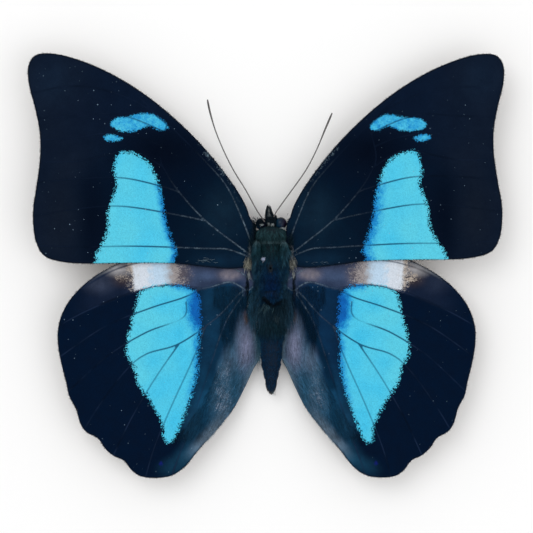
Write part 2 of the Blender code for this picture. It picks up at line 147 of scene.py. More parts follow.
HIND_BAND = [
    (22.6, -4.9), (19.7, -4.8), (16.9, -5.3), (14.8, -7), (14.7, -10), (14.3, -13.2),
    (14.9, -17), (14.9, -20.6), (15.3, -24.1), (16.3, -27.8), (17.5, -31.2), (18.7, -34.6),
    (20.2, -37.5), (21.9, -37.5), (22.1, -34.6), (23.7, -31), (25.3, -28.4), (27.2, -25.7),
    (28.1, -22.2), (29.6, -19.4), (29.4, -16), (28.6, -12.6), (27.8, -9.6), (27.2, -7),
    (25.4, -5.3),
]

# Lights: name, place in metres, size in metres, power in watts
WORLD_LIGHT = 0.78
LAMPS = [
    ("key", (-0.25, 0.3, 0.7), 0.5, 1.5),
    ("fill", (0.35, -0.2, 0.6), 0.6, 0.8),
]

# Eyes, as the solids have them
EYE_RADIUS = 1.3
EYE_CENTRE = {"left": (-1.85, 8, 5.4), "right": (2.15, 8.15, 5.6)}

PALP_TIP_X = -0.3  # where the palps' hairs meet in front
GROOVE = [(-1.4, -7.5), (0.5, -9), (2.8, -7.6)]  # the scutellum's edge

# Tufts of hair, the darkest beside the thorax being painted shade: place, spread, heading, length,
# count, colour
TUFTS = [
    ((-4.5, -0.2, 7.3), (0.45, 0.6, 0.1), (-0.3, -0.9, 0.25), 1, 170, (150, 150, 138)),
    ((4.5, -0.1, 7.3), (0.4, 0.7, 0.1), (0.3, -0.9, 0.25), 1, 130, (132, 134, 128)),
    ((-4.6, -2.6, 6.8), (0.15, 0.35, 0.1), (0.1, -1, 0.2), 0.9, 40, (150, 156, 158)),
    ((4.9, -2.4, 6.8), (0.15, 0.5, 0.1), (-0.1, -1, 0.2), 0.9, 40, (150, 156, 158)),
    ((-4.3, 2, 7.3), (0.12, 0.6, 0.08), (0.1, 0.9, 0.2), 0.8, 50, (130, 140, 148)),
    ((4.3, 1.8, 7.3), (0.2, 0.7, 0.08), (0.2, 0.8, 0.2), 0.8, 50, (120, 128, 138)),
    ((-3.7, -8.5, 6.4), (0.35, 1.4, 0.4), (-0.05, -1, -0.1), 4.2, 420, (44, 84, 108)),
    ((3.8, -8.5, 6.4), (0.35, 1.4, 0.4), (0.05, -1, -0.1), 4.2, 420, (38, 70, 92)),
    ((-2.25, -15.5, 4.6), (0.25, 1.1, 0.25), (-0.02, -1, -0.12), 2.6, 300, (52, 96, 120)),
    ((-2.4, -17.4, 3.9), (0.2, 1.2, 0.2), (0, -1, -0.1), 2.2, 260, (84, 118, 136)),
    ((0.3, -26.9, 3), (0.3, 0.3, 0.3), (0.05, -1, -0.05), 0.9, 160, (34, 54, 66)),
    ((0.5, -26.9, 3.4), (0.12, 0.3, 0.1), (0.1, -1, 0), 0.8, 40, (104, 128, 136)),
    ((-0.9, -9.4, 8), (0.6, 0.5, 0.15), (-0.4, -0.9, 0.1), 1.6, 46, (70, 100, 110)),
    ((0.9, -11.6, 7.7), (0.3, 0.35, 0.1), (0.45, -0.9, 0.1), 1.3, 12, (80, 100, 106)),
    ((-13.5, 0.3, 7.5), (1.7, 0.3, 0.02), (-1, 0.1, 0.03), 0.7, 30, (104, 124, 136)),
    ((10, -0.2, 7.4), (1.7, 0.2, 0.02), (1, 0.1, 0.03), 0.6, 16, (84, 104, 118)),
    ((-2.2, -9.6, 7), (0.7, 0.8, 0.4), (-0.05, -1, -0.1), 3.6, 420, (36, 66, 84)),
    ((2.4, -9.6, 7), (0.7, 0.8, 0.4), (0.05, -1, -0.1), 3.6, 420, (30, 56, 70)),
    ((0.2, -9.8, 7.6), (1, 0.6, 0.3), (0, -1, -0.15), 3.4, 420, (26, 50, 64)),
    ((-5, -10.8, 5.4), (0.25, 0.6, 0.15), (0, -1, 0.1), 1.6, 120, (112, 92, 84)),
    ((5, -10.6, 5.4), (0.2, 0.5, 0.15), (0, -1, 0.1), 1.4, 80, (104, 96, 78)),
    ((-1.75, 7.85, 7.1), (0.18, 0.12, 0.05), (-0.7, -0.6, 0.4), 0.4, 22, (150, 160, 164)),
    ((-0.35, 8, 7.2), (0.14, 0.14, 0.05), (-0.5, -0.8, 0.4), 0.4, 20, (140, 150, 152)),
    ((0.45, 7.95, 7.2), (0.2, 0.14, 0.05), (0.6, -0.8, 0.4), 0.45, 26, (150, 160, 162)),
    ((2.5, 7.15, 6.9), (0.4, 0.07, 0.05), (0.9, -0.35, 0.3), 0.4, 30, (150, 160, 166)),
    ((-0.2, 9.4, 6), (0.15, 0.3, 0.15), (-0.1, 0.9, 0.4), 0.5, 40, (120, 130, 134)),
    ((-2, 8, 6.5), (0.45, 0.4, 0.2), (-0.3, 0.8, 0.4), 0.75, 330, (9, 20, 28)),
    # dark tufts beside the collar: hair, and painted shade filling the shaded gap between the
    # collar and each forewing root
    ((-3.35, 6.3, 6), (0.2, 0.9, 0.4), (-0.7, 0.5, 0.1), 1.1, 1100, (12, 28, 36)),
    ((3.7, 6.3, 6), (0.2, 0.9, 0.4), (0.6, 0.5, 0.1), 1, 1000, (10, 24, 32)),
    ((-3.5, 4.4, 6.2), (0.2, 0.7, 0.4), (-0.8, 0.3, 0.2), 0.9, 700, (14, 32, 42)),
    ((3.7, 4.3, 6.2), (0.2, 0.7, 0.4), (0.8, 0.3, 0.2), 0.9, 700, (12, 30, 40)),
    ((-3.9, 3.4, 7.2), (0.3, 1.3, 0.25), (-0.5, 0.6, 0.15), 0.9, 420, (14, 34, 44)),
    ((4, 3.2, 7.2), (0.3, 1.3, 0.25), (0.5, 0.6, 0.15), 0.9, 420, (12, 30, 40)),
    # painted shadow: near-black tufts fill the shaded slit between the thorax and each hindwing
    # root
    ((-4.85, -5.8, 6.3), (0.16, 1.6, 0.2), (-0.08, -1, 0), 1.1, 260, (6, 18, 26)),
    ((4.95, -6, 6.3), (0.16, 1.7, 0.2), (0.08, -1, 0), 1.1, 260, (6, 18, 26)),
    # a bluish-white tuft on top of the thorax: pale scales and a painted glint
    ((-1.5, 0.6, 9.2), (0.19, 0.19, 0.04), (0, -0.3, 0.9), 0.36, 150, (196, 206, 230)),
]

# Soft spots of colour on the wings' grounds: colour, place, reach, strength
FORE_TONES = [
    ((19, 33, 50), (45, 38), (7, 8), 0.6),
    ((1, 3, 10), (22, 23.5), (15, 9), 1),
    ((1, 4, 13), (37, 9), (5, 16), 0.9),
    ((18, 24, 33), (43.5, 10), (6, 13), 0.7),
    ((18, 39, 54), (10, 10.5), (6.5, 9), 0.6),
    ((13, 38, 58), (10.5, 0.6), (8.5, 2.2), 0.8),
    ((96, 98, 90), (4.7, -0.4), (1.1, 0.9), 0.6),
]
STRIP_TONES = [  # above the hindwing's radius vein
    ((66, 82, 112), (14, -3.4), (5, 3), 1),
    ((98, 88, 88), (18.6, -2.6), (3.6, 3.4), 0.75),
    ((60, 50, 48), (30.5, -3.6), (4, 2.6), 0.8),
    ((34, 44, 66), (12.6, -4.8), (5.4, 1.9), 0.7),
]
LOBE_TONES = [  # along the hindwing's inner side
    ((46, 104, 138), (7.4, -26.5), (1.8, 6), 0.6),
    ((156, 162, 194), (5, -17), (3, 8.5), 0.95),
]
LOBE_LEVELS = [8, 14, 20, 27, 33, 38, 43]  # behind the root
LOBE_REACH = [5.4, 7.4, 10.4, 12.2, 12.9, 14.5, 18]  # out to the side, at those levels
LOBE_FOLD = [(6.2, -8.5), (8.7, -14), (11.6, -20.5), (13.2, -26)]
FORE_BAND_INNER = FORE_BAND[4:11]
HIND_BAND_INNER = HIND_BAND[1:13]

# Where the sides differ: the azure edge's width and strength, how bright the forewing's root veins
# are, how far its band leans out at the bottom, and strengths of marks on the hindwing (fold:
# painted shade along the lobe's fold)
SIDE_LOOK = {
    "left": {
        "azure": (1.5, 0.6), "pale": 0.9, "lean": 0, "inner_tone": (14, 50, 76),
        "outer_grey": 0.6, "haze": 0.5, "fold": 0.35, "glow": 0.2,
    },
    "right": {
        "azure": (3, 0.6), "pale": 0.6, "lean": 0.85, "inner_tone": (11, 43, 72),
        "outer_grey": 0.2, "haze": 0.36, "fold": 0.75, "glow": 0.45,
    },
}

# The underside's marbling: size, detail, where it starts and is full, strength, colour
MARBLING = [
    (7, 5, 0.46, 0.64, 0.6, (64, 52, 46)),
    (4, 5, 0.54, 0.66, 0.55, (160, 148, 128)),
    (0.7, 4, 0.45, 0.7, 0.45, (58, 49, 44)),
]

# Wing surfaces for the look
GRAIN = 0.42  # spacing of the wing meshes' points
GRAIN_CLEARANCE = 0.24
SHEET = 0.12
SHEET_SAG = 0.09  # how far the sheet sinks between its veins
RIDGE = 0.11
RIDGE_WIDTH = 0.3
RIDGE_TAPER = 0.55  # share of a ridge that is lost at the tip
SCALE_SIZE = 0.17

# Points per span of the drawn curves
MARGIN_STEPS = 9
VEIN_STEPS = 10
MARK_STEPS = 6
SPOT_STEPS = 5

# Hairs: a ring of three corners at the root, one at the middle and a point
HAIR_SINK = 0.08  # how deep a root lies in the skin
HAIR_RADII = (0.5, 0.38)  # of the two rings, as shares of the width
HAIR_PAINTED_SHADES = (0.45, 0.9, 1.25)  # brightness of the two rings and the point: painted shade at the root, painted light at the point
HAIR_FACES = [
    (0, 1, 4), (0, 4, 3), (1, 2, 5), (1, 5, 4), (2, 0, 3), (2, 3, 5),
    (3, 4, 6), (4, 5, 6), (5, 3, 6),
]
FRINGE_SPACING = 0.11
FRINGE_FROM = 7  # no fringe nearer to the body than this
RING_SPACING = 1.9  # of the pale rings on the abdomen

SAME_POINT = 1e-6  # in metres: corners nearer than this are one
GENTLE_CORNER = 0.6  # cosine of the sharpest turn that is shaded as round
FLOOR_SIZE = 3  # in metres

SEED = 7
RNG = np.random.default_rng(SEED)


def rise(low, high, value):
    t = np.clip((value - low) / (high - low), 0, 1)
    return t * t * (3 - 2 * t)


def fall(low, high, value):
    return 1 - rise(low, high, value)


def spot(points, place, reach):
    """A soft spot round a place: 1 at its middle, 0 past its reach (two half sizes)."""
    away = np.hypot((points[:, 0] - place[0]) / reach[0], (points[:, 1] - place[1]) / reach[1])
    return fall(0, 1, away)


def ripple(points, size, seed):
    """Smooth random values, about -1 to 1, in waves about size long."""
    rng = np.random.default_rng(seed)
    total = np.zeros(len(points))
    for _ in range(7):
        heading = rng.uniform(0, 2 * np.pi)
        wave = rng.uniform(0.6, 1.6) * 2 * np.pi / size
        along = points @ [math.cos(heading), math.sin(heading)]
        total += np.sin(along * wave + rng.uniform(0, 6.28))
    return total / 3.5


def spline(points, per_span):
    """Points of a Catmull-Rom curve through the given ones."""
    knots = np.array(points, float)
    padded = np.vstack([knots[:1], knots, knots[-1:]])
    t = np.arange(per_span)[:, None] / per_span
    curve = []
    for a, b, c, d in zip(padded, padded[1:], padded[2:], padded[3:]):
        bend = (2 * a - 5 * b + 4 * c - d) * t**2 + (3 * b - 3 * c + d - a) * t**3
        curve.append(0.5 * (2 * b + (c - a) * t + bend))
    return np.vstack(curve + [knots[-1:]])


def closed(points, per_span):
    """A smooth closed loop through the points."""
    wrapped = points[-2:] + points + points[:2]
    return spline(wrapped, per_span)[2 * per_span:-per_span - 1]


def wing_loop(margin, root):
    """A wing's outline: a smooth margin and a root of straight edges."""
    return np.vstack([spline(margin, MARGIN_STEPS), root])


FORE_LOOP = wing_loop(COSTA + FORE_TERMEN + FORE_DORSUM, FORE_ROOT)
HIND_LOOP = wing_loop(HIND_COSTA + HIND_TERMEN + HIND_DORSUM, HIND_ROOT)


def line_gap(points, line):
    """The distance of each point to a chain of points."""
    nearest = np.full(len(points), np.inf)
    for a, b in zip(line, line[1:]):
        span = b - a
        share = np.clip((points - a) @ span / max(span @ span, 1e-12), 0, 1)
        nearest = np.minimum(nearest, np.linalg.norm(points - a - share[:, None] * span, axis=1))
    return nearest


def within(points, loop):
    """Whether each point lies inside a closed loop."""
    odd = np.zeros(len(points), bool)
    for a, b in zip(loop, np.roll(loop, -1, axis=0)):
        if a[1] == b[1]:
            continue
        spans = (a[1] > points[:, 1]) != (b[1] > points[:, 1])
        crossing = a[0] + (points[:, 1] - a[1]) / (b[1] - a[1]) * (b[0] - a[0])
        odd ^= spans & (points[:, 0] < crossing)
    return odd


def loop_gap(points, loop):
    """The distance of each point to a loop, positive inside it."""
    away = line_gap(points, np.vstack([loop, loop[:1]]))
    return np.where(within(points, loop), away, -away)


def color_of(red, green, blue):
    """A colour from its 8-bit sRGB values, as linear light."""
    value = np.array([red, green, blue]) / 255
    return np.where(value <= 0.04045, value / 12.92, ((value + 0.055) / 1.055) ** 2.4)


def plain(points, color):
    """The same colour for every point."""
    return np.tile(color_of(*color), (len(points), 1))


def blend(base, color, share):
    """Base colours, one a point, moved towards one colour by each point's share."""
    return base + (color_of(*color) - base) * share[:, None]


def with_tones(base, points, tones, share=1):
    """Base colours with soft spots of colour laid over them in turn."""
    for color, place, reach, strength in tones:
        base = blend(base, color, share * spot(points, place, reach) * strength)
    return base


def mesh_object(name, points, faces, materials):
    """A smooth mesh of triangles, in metres, that rides on the part."""
    mesh = bpy.data.meshes.new(name)
    mesh.from_pydata(points.tolist(), [], faces.tolist())
    mesh.validate()
    mesh.shade_smooth()
    for material in materials:
        mesh.materials.append(material)
    thing = bpy.data.objects.new(name, mesh)
    bpy.context.scene.collection.objects.link(thing)
    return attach(thing, "root")


def store(mesh, name, values):
    """Keeps a number or a colour for each point, for the material to read."""
    values = np.asarray(values, np.float32)
    if values.ndim == 1:
        mesh.attributes.new(name, "FLOAT", "POINT").data.foreach_set("value", values)
        return
    padded = np.hstack([values, np.ones((len(values), 1), np.float32)])
    mesh.attributes.new(name, "FLOAT_COLOR", "POINT").data.foreach_set("color", padded.ravel())


class Nodes:
    """Writes a material: sockets or values go in, a socket comes out."""

    def __init__(self, name):
        self.material = bpy.data.materials.new(name)
        self.material.use_nodes = True
        self.tree = self.material.node_tree
        self.shader = self.tree.nodes["Principled BSDF"]

    def put(self, socket, value):
        if isinstance(value, bpy.types.NodeSocket):
            self.tree.links.new(value, socket)
        elif socket.type == "RGBA" and len(value) == 3:
            socket.default_value = (*color_of(*value), 1)
        else:
            socket.default_value = value

    def node(self, kind, inputs, **settings):
        made = self.tree.nodes.new("ShaderNode" + kind)
        for key, value in settings.items():
            setattr(made, key, value)
        for key, value in inputs.items():
            self.put(made.inputs[key], value)
        return made

    def math(self, operation, a, b):
        return self.node("Math", {0: a, 1: b}, operation=operation).outputs[0]

    def plus(self, a, b):
        return self.math("ADD", a, b)

    def times(self, a, b):
        return self.math("MULTIPLY", a, b)

    def swing(self, value, gain):
        """A value that varies about 0.5, made to vary about 0."""
        return self.times(self.math("SUBTRACT", value, 0.5), gain)

    def mix(self, share, a, b, how="MIX"):
        made = self.node("Mix", {"Factor": share}, data_type="RGBA", blend_type=how)
        self.put(made.inputs[6], a)
        self.put(made.inputs[7], b)
        return made.outputs[2]

    def shaded(self, color, grey):
        """A colour times a shade of grey."""
        made = self.node("CombineColor", {0: grey, 1: grey, 2: grey})
        return self.mix(1, color, made.outputs[0], how="MULTIPLY")

    def ramp(self, value, low, high, start=0, end=1):
        names = {"Value": value, "From Min": low, "From Max": high, "To Min": start, "To Max": end}
        return self.node("MapRange", names).outputs[0]

    def place(self):
        return self.node("TexCoord", {}).outputs["Object"]

    def along(self, axis):
        """A place's distance along an axis, in metres."""
        return self.node("SeparateXYZ", {"Vector": self.place()}).outputs[axis]

    def noise(self, size_mm, detail=2):
        names = {"Vector": self.place(), "Scale": 1 / (size_mm * MM), "Detail": detail}
        return self.node("TexNoise", names).outputs["Fac"]

    def cells(self, size_mm, output="Distance"):
        names = {"Vector": self.place(), "Scale": 1 / (size_mm * MM)}
        return self.node("TexVoronoi", names).outputs[output]

    def cell_picks(self, size_mm):
        """Three random numbers for each cell."""
        return self.node("SeparateColor", {"Color": self.cells(size_mm, "Color")}).outputs

    def read(self, name, output="Fac"):
        return self.node("Attribute", {}, attribute_name=name).outputs[output]

    def bump(self, height, strength, depth_mm):
        names = {"Height": height, "Strength": strength, "Distance": depth_mm * MM}
        return self.node("Bump", names).outputs["Normal"]

    def finish(self, **inputs):
        for key, value in inputs.items():
            self.put(self.shader.inputs[key.replace("_", " ")], value)
        return self.material


# Wings


def level_of(points, root_height, tip_rise):
    """A wing's height as it rises from its root to its tip."""
    out = np.maximum(0, points[:, 0] - 4) / HALF_SPAN
    return root_height + tip_rise * np.sin(out * np.pi / 2)


def forewing_height(points):
    edge = np.maximum(0, 1 - line_gap(points, np.array(COSTA)) / COSTA_SAG_WIDTH)
    sag = COSTA_SAG * edge**2 * rise(6, 20, points[:, 0])
    return level_of(points, FOREWING_ROOT_Z, FOREWING_TIP_RISE) - sag


def hindwing_height(points):
    inner = np.maximum(0, 1 - line_gap(points, np.array(HIND_DORSUM)) / GUTTER_WIDTH)
    along = fall(-15, -7, points[:, 1]) * rise(-42, -22, points[:, 1])
    gutter = GUTTER_DEPTH * along * inner**2
    return level_of(points, HINDWING_ROOT_Z, HINDWING_TIP_RISE) - gutter


def grid_inside(loop, lines):
    """A triangular grid of points inside the loop, clear of it and of the lines."""
    low, high = loop.min(axis=0), loop.max(axis=0)
    rows = np.arange(low[1], high[1], GRAIN * math.sqrt(0.75))
    columns = np.arange(low[0], high[0], GRAIN)
    x, y = np.meshgrid(columns, rows)
    x = x + np.where(np.arange(len(rows)) % 2, GRAIN / 2, 0)[:, None]
    points = np.column_stack([x.ravel(), y.ravel()])
    clear = loop_gap(points, loop) > GRAIN_CLEARANCE
    for line in lines:
        clear &= line_gap(points, line) > GRAIN_CLEARANCE
    return points[clear]


def on_wing(points, heights, side, setting):
    """Where points of the drawn wing lie on one side's wing."""
    turn, stretch_x, stretch_y = setting
    c, s = math.cos(math.radians(turn)), math.sin(math.radians(turn))
    x = (c * points[:, 0] - s * points[:, 1]) * stretch_x * SIDES[side]
    y = (s * points[:, 0] + c * points[:, 1]) * stretch_y
    return np.column_stack([x, y, heights])


def wing_net(loop, lines):
    """A flat net of triangles inside the loop, with edges along the lines."""
    stack, edges, first = [loop], [], len(loop)
    for line in lines:
        stack.append(line)
        edges.extend((first + i, first + i + 1) for i in range(len(line) - 1))
        first += len(line)
    stack.append(grid_inside(loop, lines))
    flat = [Vector(p) for p in np.vstack(stack)]
    made, _, faces, *_ = delaunay_2d_cdt(flat, edges, [list(range(len(loop)))], 1, 1e-4)
    return np.array([tuple(p) for p in made]), np.array(faces)


def wing(kind, side, materials):
    """A wing as a thin sheet with raised veins, and the numbers for its colours."""
    loop, veins, height, settings, paint = WINGS[kind]
    lines = [spline(route, VEIN_STEPS) for route in veins.values()]
    points, faces = wing_net(loop, lines)
    vein = np.full(len(points), np.inf)
    for line in lines:
        vein = np.minimum(vein, line_gap(points, line))
    taper = 1 - RIDGE_TAPER * np.hypot(points[:, 0], points[:, 1]) / HALF_SPAN
    ridge = RIDGE * taper * np.maximum(0, 1 - vein / RIDGE_WIDTH)
    z = height(points) + ridge - SHEET_SAG * rise(0.2, 3, vein)
    if SIDES[side] < 0:
        faces = faces[:, ::-1]
    placed = on_wing(points, z, side, settings[side])
    thing = mesh_object(f"{kind}_sheet_{side}", placed * MM, faces, materials)
    numbers = paint(points, side)
    numbers["vein"] = vein
    for name, values in numbers.items():
        store(thing.data, name, values)
    shell = thing.modifiers.new("thickness", "SOLIDIFY")
    shell.thickness = SHEET * MM
    shell.offset = 0
    shell.material_offset = 1
    shell.material_offset_rim = 0
    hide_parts(f"{kind}_{side}")


def under_colors(points, ground, shade, shade_to, streak_at, lean, sway, seed):
    """The underside's ground, darker inwards, with a dark wavy line."""
    x, y = points.T
    under = blend(plain(points, ground), shade, fall(4, shade_to, x))
    off = np.abs(x - streak_at - lean * y + sway * ripple(points, 7, seed))
    return blend(under, (52, 40, 34), fall(0.3, 0.9, off) * 0.9)


def paint_forewing(points, side):
    """What the scale and under materials read on a forewing."""
    x, y = points.T
    look = SIDE_LOOK[side]
    margin = loop_gap(points, FORE_LOOP)
    root = np.hypot(x - 4, y - 2)
    top = blend(plain(points, (1, 11, 26)), (5, 23, 38), fall(8, 22, root))
    top = blend(top, (8, 19, 36), rise(14, 30, y))
    top = blend(top, (15, 23, 36), rise(30, 44, x) * (0.8 + 0.2 * ripple(points, 12, 2)))
    top = with_tones(top, points, FORE_TONES)
    top = blend(top, (13, 20, 30), fall(0, 0.5, margin))
    under = under_colors(points, (122, 107, 90), (82, 70, 60), 26, 27, 0.12, 0.8, 5)
    under = blend(under, (158, 150, 138), spot(points, (44, 24), (7, 26)) * 0.5)
    spots = np.maximum(loop_gap(points, closed(FORE_SPOTS[side], SPOT_STEPS)),
                       loop_gap(points, closed(SMALL_SPOT, SPOT_STEPS)))
    leaning = points.copy()
    leaning[:, 0] -= look["lean"] * fall(0, 10, y) * rise(31, 36, x)
    band = loop_gap(leaning, closed(FORE_BAND, MARK_STEPS))
    depth = line_gap(points, spline(FORE_BAND_INNER, MARK_STEPS))
    width, strength = look["azure"]
    edge = fall(0, width, depth) * fall(11, 21, y)
    in_spot = spots > band
    greener = rise(24, 33, x) * fall(8, 22, y)
    faint = 1 - 0.35 * spot(points, (27, 22), (6, 6))
    dusty = spot(points, (14, 16), (12, 14)) * fall(0.4, 1.5, margin)
    return {
        "band": np.maximum(spots, band),
        "azure": np.where(in_spot, 0.3, strength * edge),
        "hue": 0.5 + 0.5 * greener + 0.35 * ripple(points, 9, 61),
        "ink": np.where(in_spot, 1, faint) * (1 - 0.4 * rise(26, 34, x)),
        "soft": in_spot * 1,
        "rib": np.full(len(points), 0.25),
        "pale": fall(6, 25, root) * look["pale"],
        "frost": 0.4 * dusty,
        "rime": plain(points, (96, 116, 128)),
        "top": top,
        "under": under,
    }


def hindwing_zones(points):
    """Distance from the inner edge, and shares above the radius and in the lobe."""
    x, y = points.T
    inner = line_gap(points, spline(HIND_DORSUM, MARK_STEPS))
    radius_x, radius_y = np.array(HIND_VEINS["radius"]).T
    above = rise(-0.4, 0.5, y - np.interp(x, radius_x, radius_y))
    reach = np.interp(-y, LOBE_LEVELS, LOBE_REACH) + 0.5 * ripple(points, 5, 31)
    lobe = fall(-2.2, 0.6, x - reach) * fall(-12.5, -9, y)
    return inner, above, lobe


def strip_colors(top, points, side, above, margin):
    """The greyish strip along the hindwing's front, under the forewing; a painted highlight on its
    edge.
    """
    x, y = points.T
    strip = 1 - 0.86 * rise(25, 31, x) - 0.14 * rise(33, 43, x)
    top = blend(top, (60, 70, 96), above * strip)
    top = with_tones(top, points, STRIP_TONES, above)
    beige = spot(points, (8.4, -2.6), (3.6, 2.2)) * (0.75 + 0.25 * ripple(points, 1.6, 72))
    top = blend(top, (152, 142, 146), above * beige * 0.75)
    # painted highlight: a pale line just inside the hindwing's front margin, towards its outer end
    rim = rise(0.1, 0.3, margin) * fall(0.4, 0.8, margin)
    top = blend(top, (104, 110, 116), rim * spot(points, (32.5, -1), (9, 5)))
    outer = spot(points, (35.5, -4.4), (5, 3.4)) * SIDE_LOOK[side]["outer_grey"]
    top = blend(top, (66, 74, 94), above * outer)
    streaky = 0.75 + 0.25 * ripple(points * [0.3, 2.5], 3, 71)
    brushed = spot(points, (31, -1.6), (4.6, 2.3)) * streaky * 0.95
    top = blend(top, (172, 170, 172), above * brushed)
    return blend(top, (26, 44, 70), spot(points, (6.6, -4.6), (2.4, 1.6)) * 0.9)


def lobe_colors(top, points, side, inner, lobe):
    """The bluish inner lobe, with painted shade on its fold, a pale patch and a pale edge."""
    y = points[:, 1]
    look = SIDE_LOOK[side]
    streaks = 0.75 + 0.25 * ripple(np.column_stack([inner * 3, y * 0.5]), 3, 9)
    top = blend(top, (76, 122, 154), lobe * rise(-48, -30, y) * streaks)
    lower_zone = fall(-40, -32, y) * rise(-46.5, -40.5, y)
    top = blend(top, (28, 74, 100), fall(0.5, 4.6, inner) * lower_zone * 0.85)
    top = blend(top, (24, 66, 94), spot(points, (15.6, -34.6), (4.4, 7.4)))
    # painted shade along the lobe's fold, over dark hair
    fold = fall(0.3, 1.6, line_gap(points, np.array(LOBE_FOLD)))
    top = blend(top, (3, 28, 46), fold * look["fold"])
    top = blend(top, (140, 158, 186), spot(points, (8.2, -20.4), (2.6, 4.5)) * look["glow"])
    top = with_tones(top, points, LOBE_TONES)
    hem = fall(0.2, 1.3, inner)
    top = blend(top, (140, 172, 198), hem * spot(points, (3, -20), (5, 14)))
    top = blend(top, (112, 84, 80), spot(points, (5, -10.8), (0.9, 1.7)) * 0.7)
    edge = fall(0.6, 2.6, inner) * spot(points, (13, -35), (9, 9))
    return blend(top, (122, 144, 164), edge * 0.95)


def hindwing_top(points, side):
    x, y = points.T
    margin = loop_gap(points, HIND_LOOP)
    inner, above, lobe = hindwing_zones(points)
    inward = fall(12.5, 17, x) * rise(-42, -32, y)
    top = blend(plain(points, (2, 15, 35)), SIDE_LOOK[side]["inner_tone"], inward)
    top = blend(top, (22, 72, 104), spot(points, (12.6, -31), (5.6, 12)))
    top = strip_colors(top, points, side, above, margin)
    top = lobe_colors(top, points, side, inner, lobe)
    top = blend(top, (24, 26, 130), spot(points, (22.6, -42.3), (0.45, 0.6)))
    return blend(top, (10, 22, 36), fall(0, 0.45, margin) * 0.7)


def hindwing_frost(points, side):
    """Where pale scales lie thick on the strip and the lobe, and their colour."""
    x, y = points.T
    _, above, lobe = hindwing_zones(points)
    lower = rise(-8.5, -4.5, y) * above
    slant = x - 0.15 * (y + 3)
    frost = lower * rise(14, 23.6, x) * fall(26.4, 31.4, slant) * 1.1
    frost = np.maximum(frost, 0.5 * above * spot(points, (30, -3.2), (3.4, 2.2)))
    haze = np.clip(1.6 * spot(points, (10.4, -26.5), (3.8, 10.5)), 0, 1) * lobe
    frost = np.maximum(frost, SIDE_LOOK[side]["haze"] * haze)
    wavy = x + 0.7 * ripple(points, 1.3, 73)
    rime = blend(plain(points, (182, 206, 226)), (204, 212, 222), rise(24, 25.6, wavy))
    rime = blend(rime, (172, 160, 148), rise(27.4, 29.4, wavy))
    rime = blend(rime, (150, 143, 142), fall(19.8, 22.4, wavy))
    return frost, blend(rime, (146, 162, 182), fall(-9, -8, y))


def paint_hindwing(points, side):
    """What the scale and under materials read on a hindwing."""
    x, y = points.T
    root = np.hypot(x - 4.5, y + 6)
    frost, rime = hindwing_frost(points, side)
    under = under_colors(points, (126, 110, 92), (84, 72, 62), 22, 22, 0.15, 0.9, 15)
    depth = line_gap(points, spline(HIND_BAND_INNER, MARK_STEPS))
    azure_patch = 1.5 * spot(points, (14.6, -9.6), (3.8, 7.4))
    azure_edge = 0.5 * fall(0, 1.8, depth) * rise(-34, -22, y)
    greener = rise(19, 28, x + 0.25 * (y + 15))
    faint = 1 - 0.85 * spot(points, (19.6, -12.4), (4.6, 3.4))
    return {
        "band": loop_gap(points, closed(HIND_BAND, MARK_STEPS)),
        "azure": np.maximum(azure_patch, azure_edge),
        "hue": 0.25 + 0.75 * greener + 0.3 * ripple(points, 8, 62),
        "ink": faint * (0.6 + 0.4 * rise(-22, -17, y)),
        "soft": np.zeros(len(points)),
        "rib": np.ones(len(points)),
        "pale": 1 - 0.8 * rise(4, 10, root) - 0.2 * rise(10, 22, root),
        "frost": frost,
        "rime": rime,
        "top": hindwing_top(points, side),
        "under": blend(under, (60, 50, 42), spot(points, (33, -30), (2.2, 2.2))),
    }


WINGS = {  # outline, veins, height, how each side was set, colours
    "forewing": (FORE_LOOP, FORE_VEINS, forewing_height, FORE_SET, paint_forewing),
    "hindwing": (HIND_LOOP, HIND_VEINS, hindwing_height, HIND_SET, paint_hindwing),
}


def band_colors(n, picks, jitter, vein):
    """Turquoise, azure where the wing says so, with dark veins."""
    deep = n.mix(n.noise(1.6), (11, 78, 150), (18, 104, 186))
    patchy = n.ramp(n.noise(3), 0.3, 0.7)
    bright = n.mix(patchy, (64, 186, 223), (74, 194, 228))
    bright = n.mix(n.read("hue"), bright, (88, 198, 221))
    bright = n.mix(n.times(n.ramp(picks[2], 0.9, 1), 0.22), bright, (30, 120, 170))
    azure = n.read("azure")
    grit = n.plus(n.swing(n.noise(1.1, 3), 0.9), n.times(jitter, 0.3))
    ragged = n.plus(azure, n.times(grit, n.ramp(azure, 0, 0.3, 0.12, 1)))
    blue = n.mix(n.ramp(ragged, 0, 0.5), bright, (34, 142, 202))
    blue = n.mix(n.ramp(ragged, 0.45, 0.95), blue, deep)
    line = n.times(n.ramp(vein, 0.07, 0.24, 1, 0), n.read("ink"))
    hidden = n.ramp(azure, 0.1, 0.5, 0.85, 0.45)
    return n.mix(n.times(line, hidden), blue, (4, 42, 82))


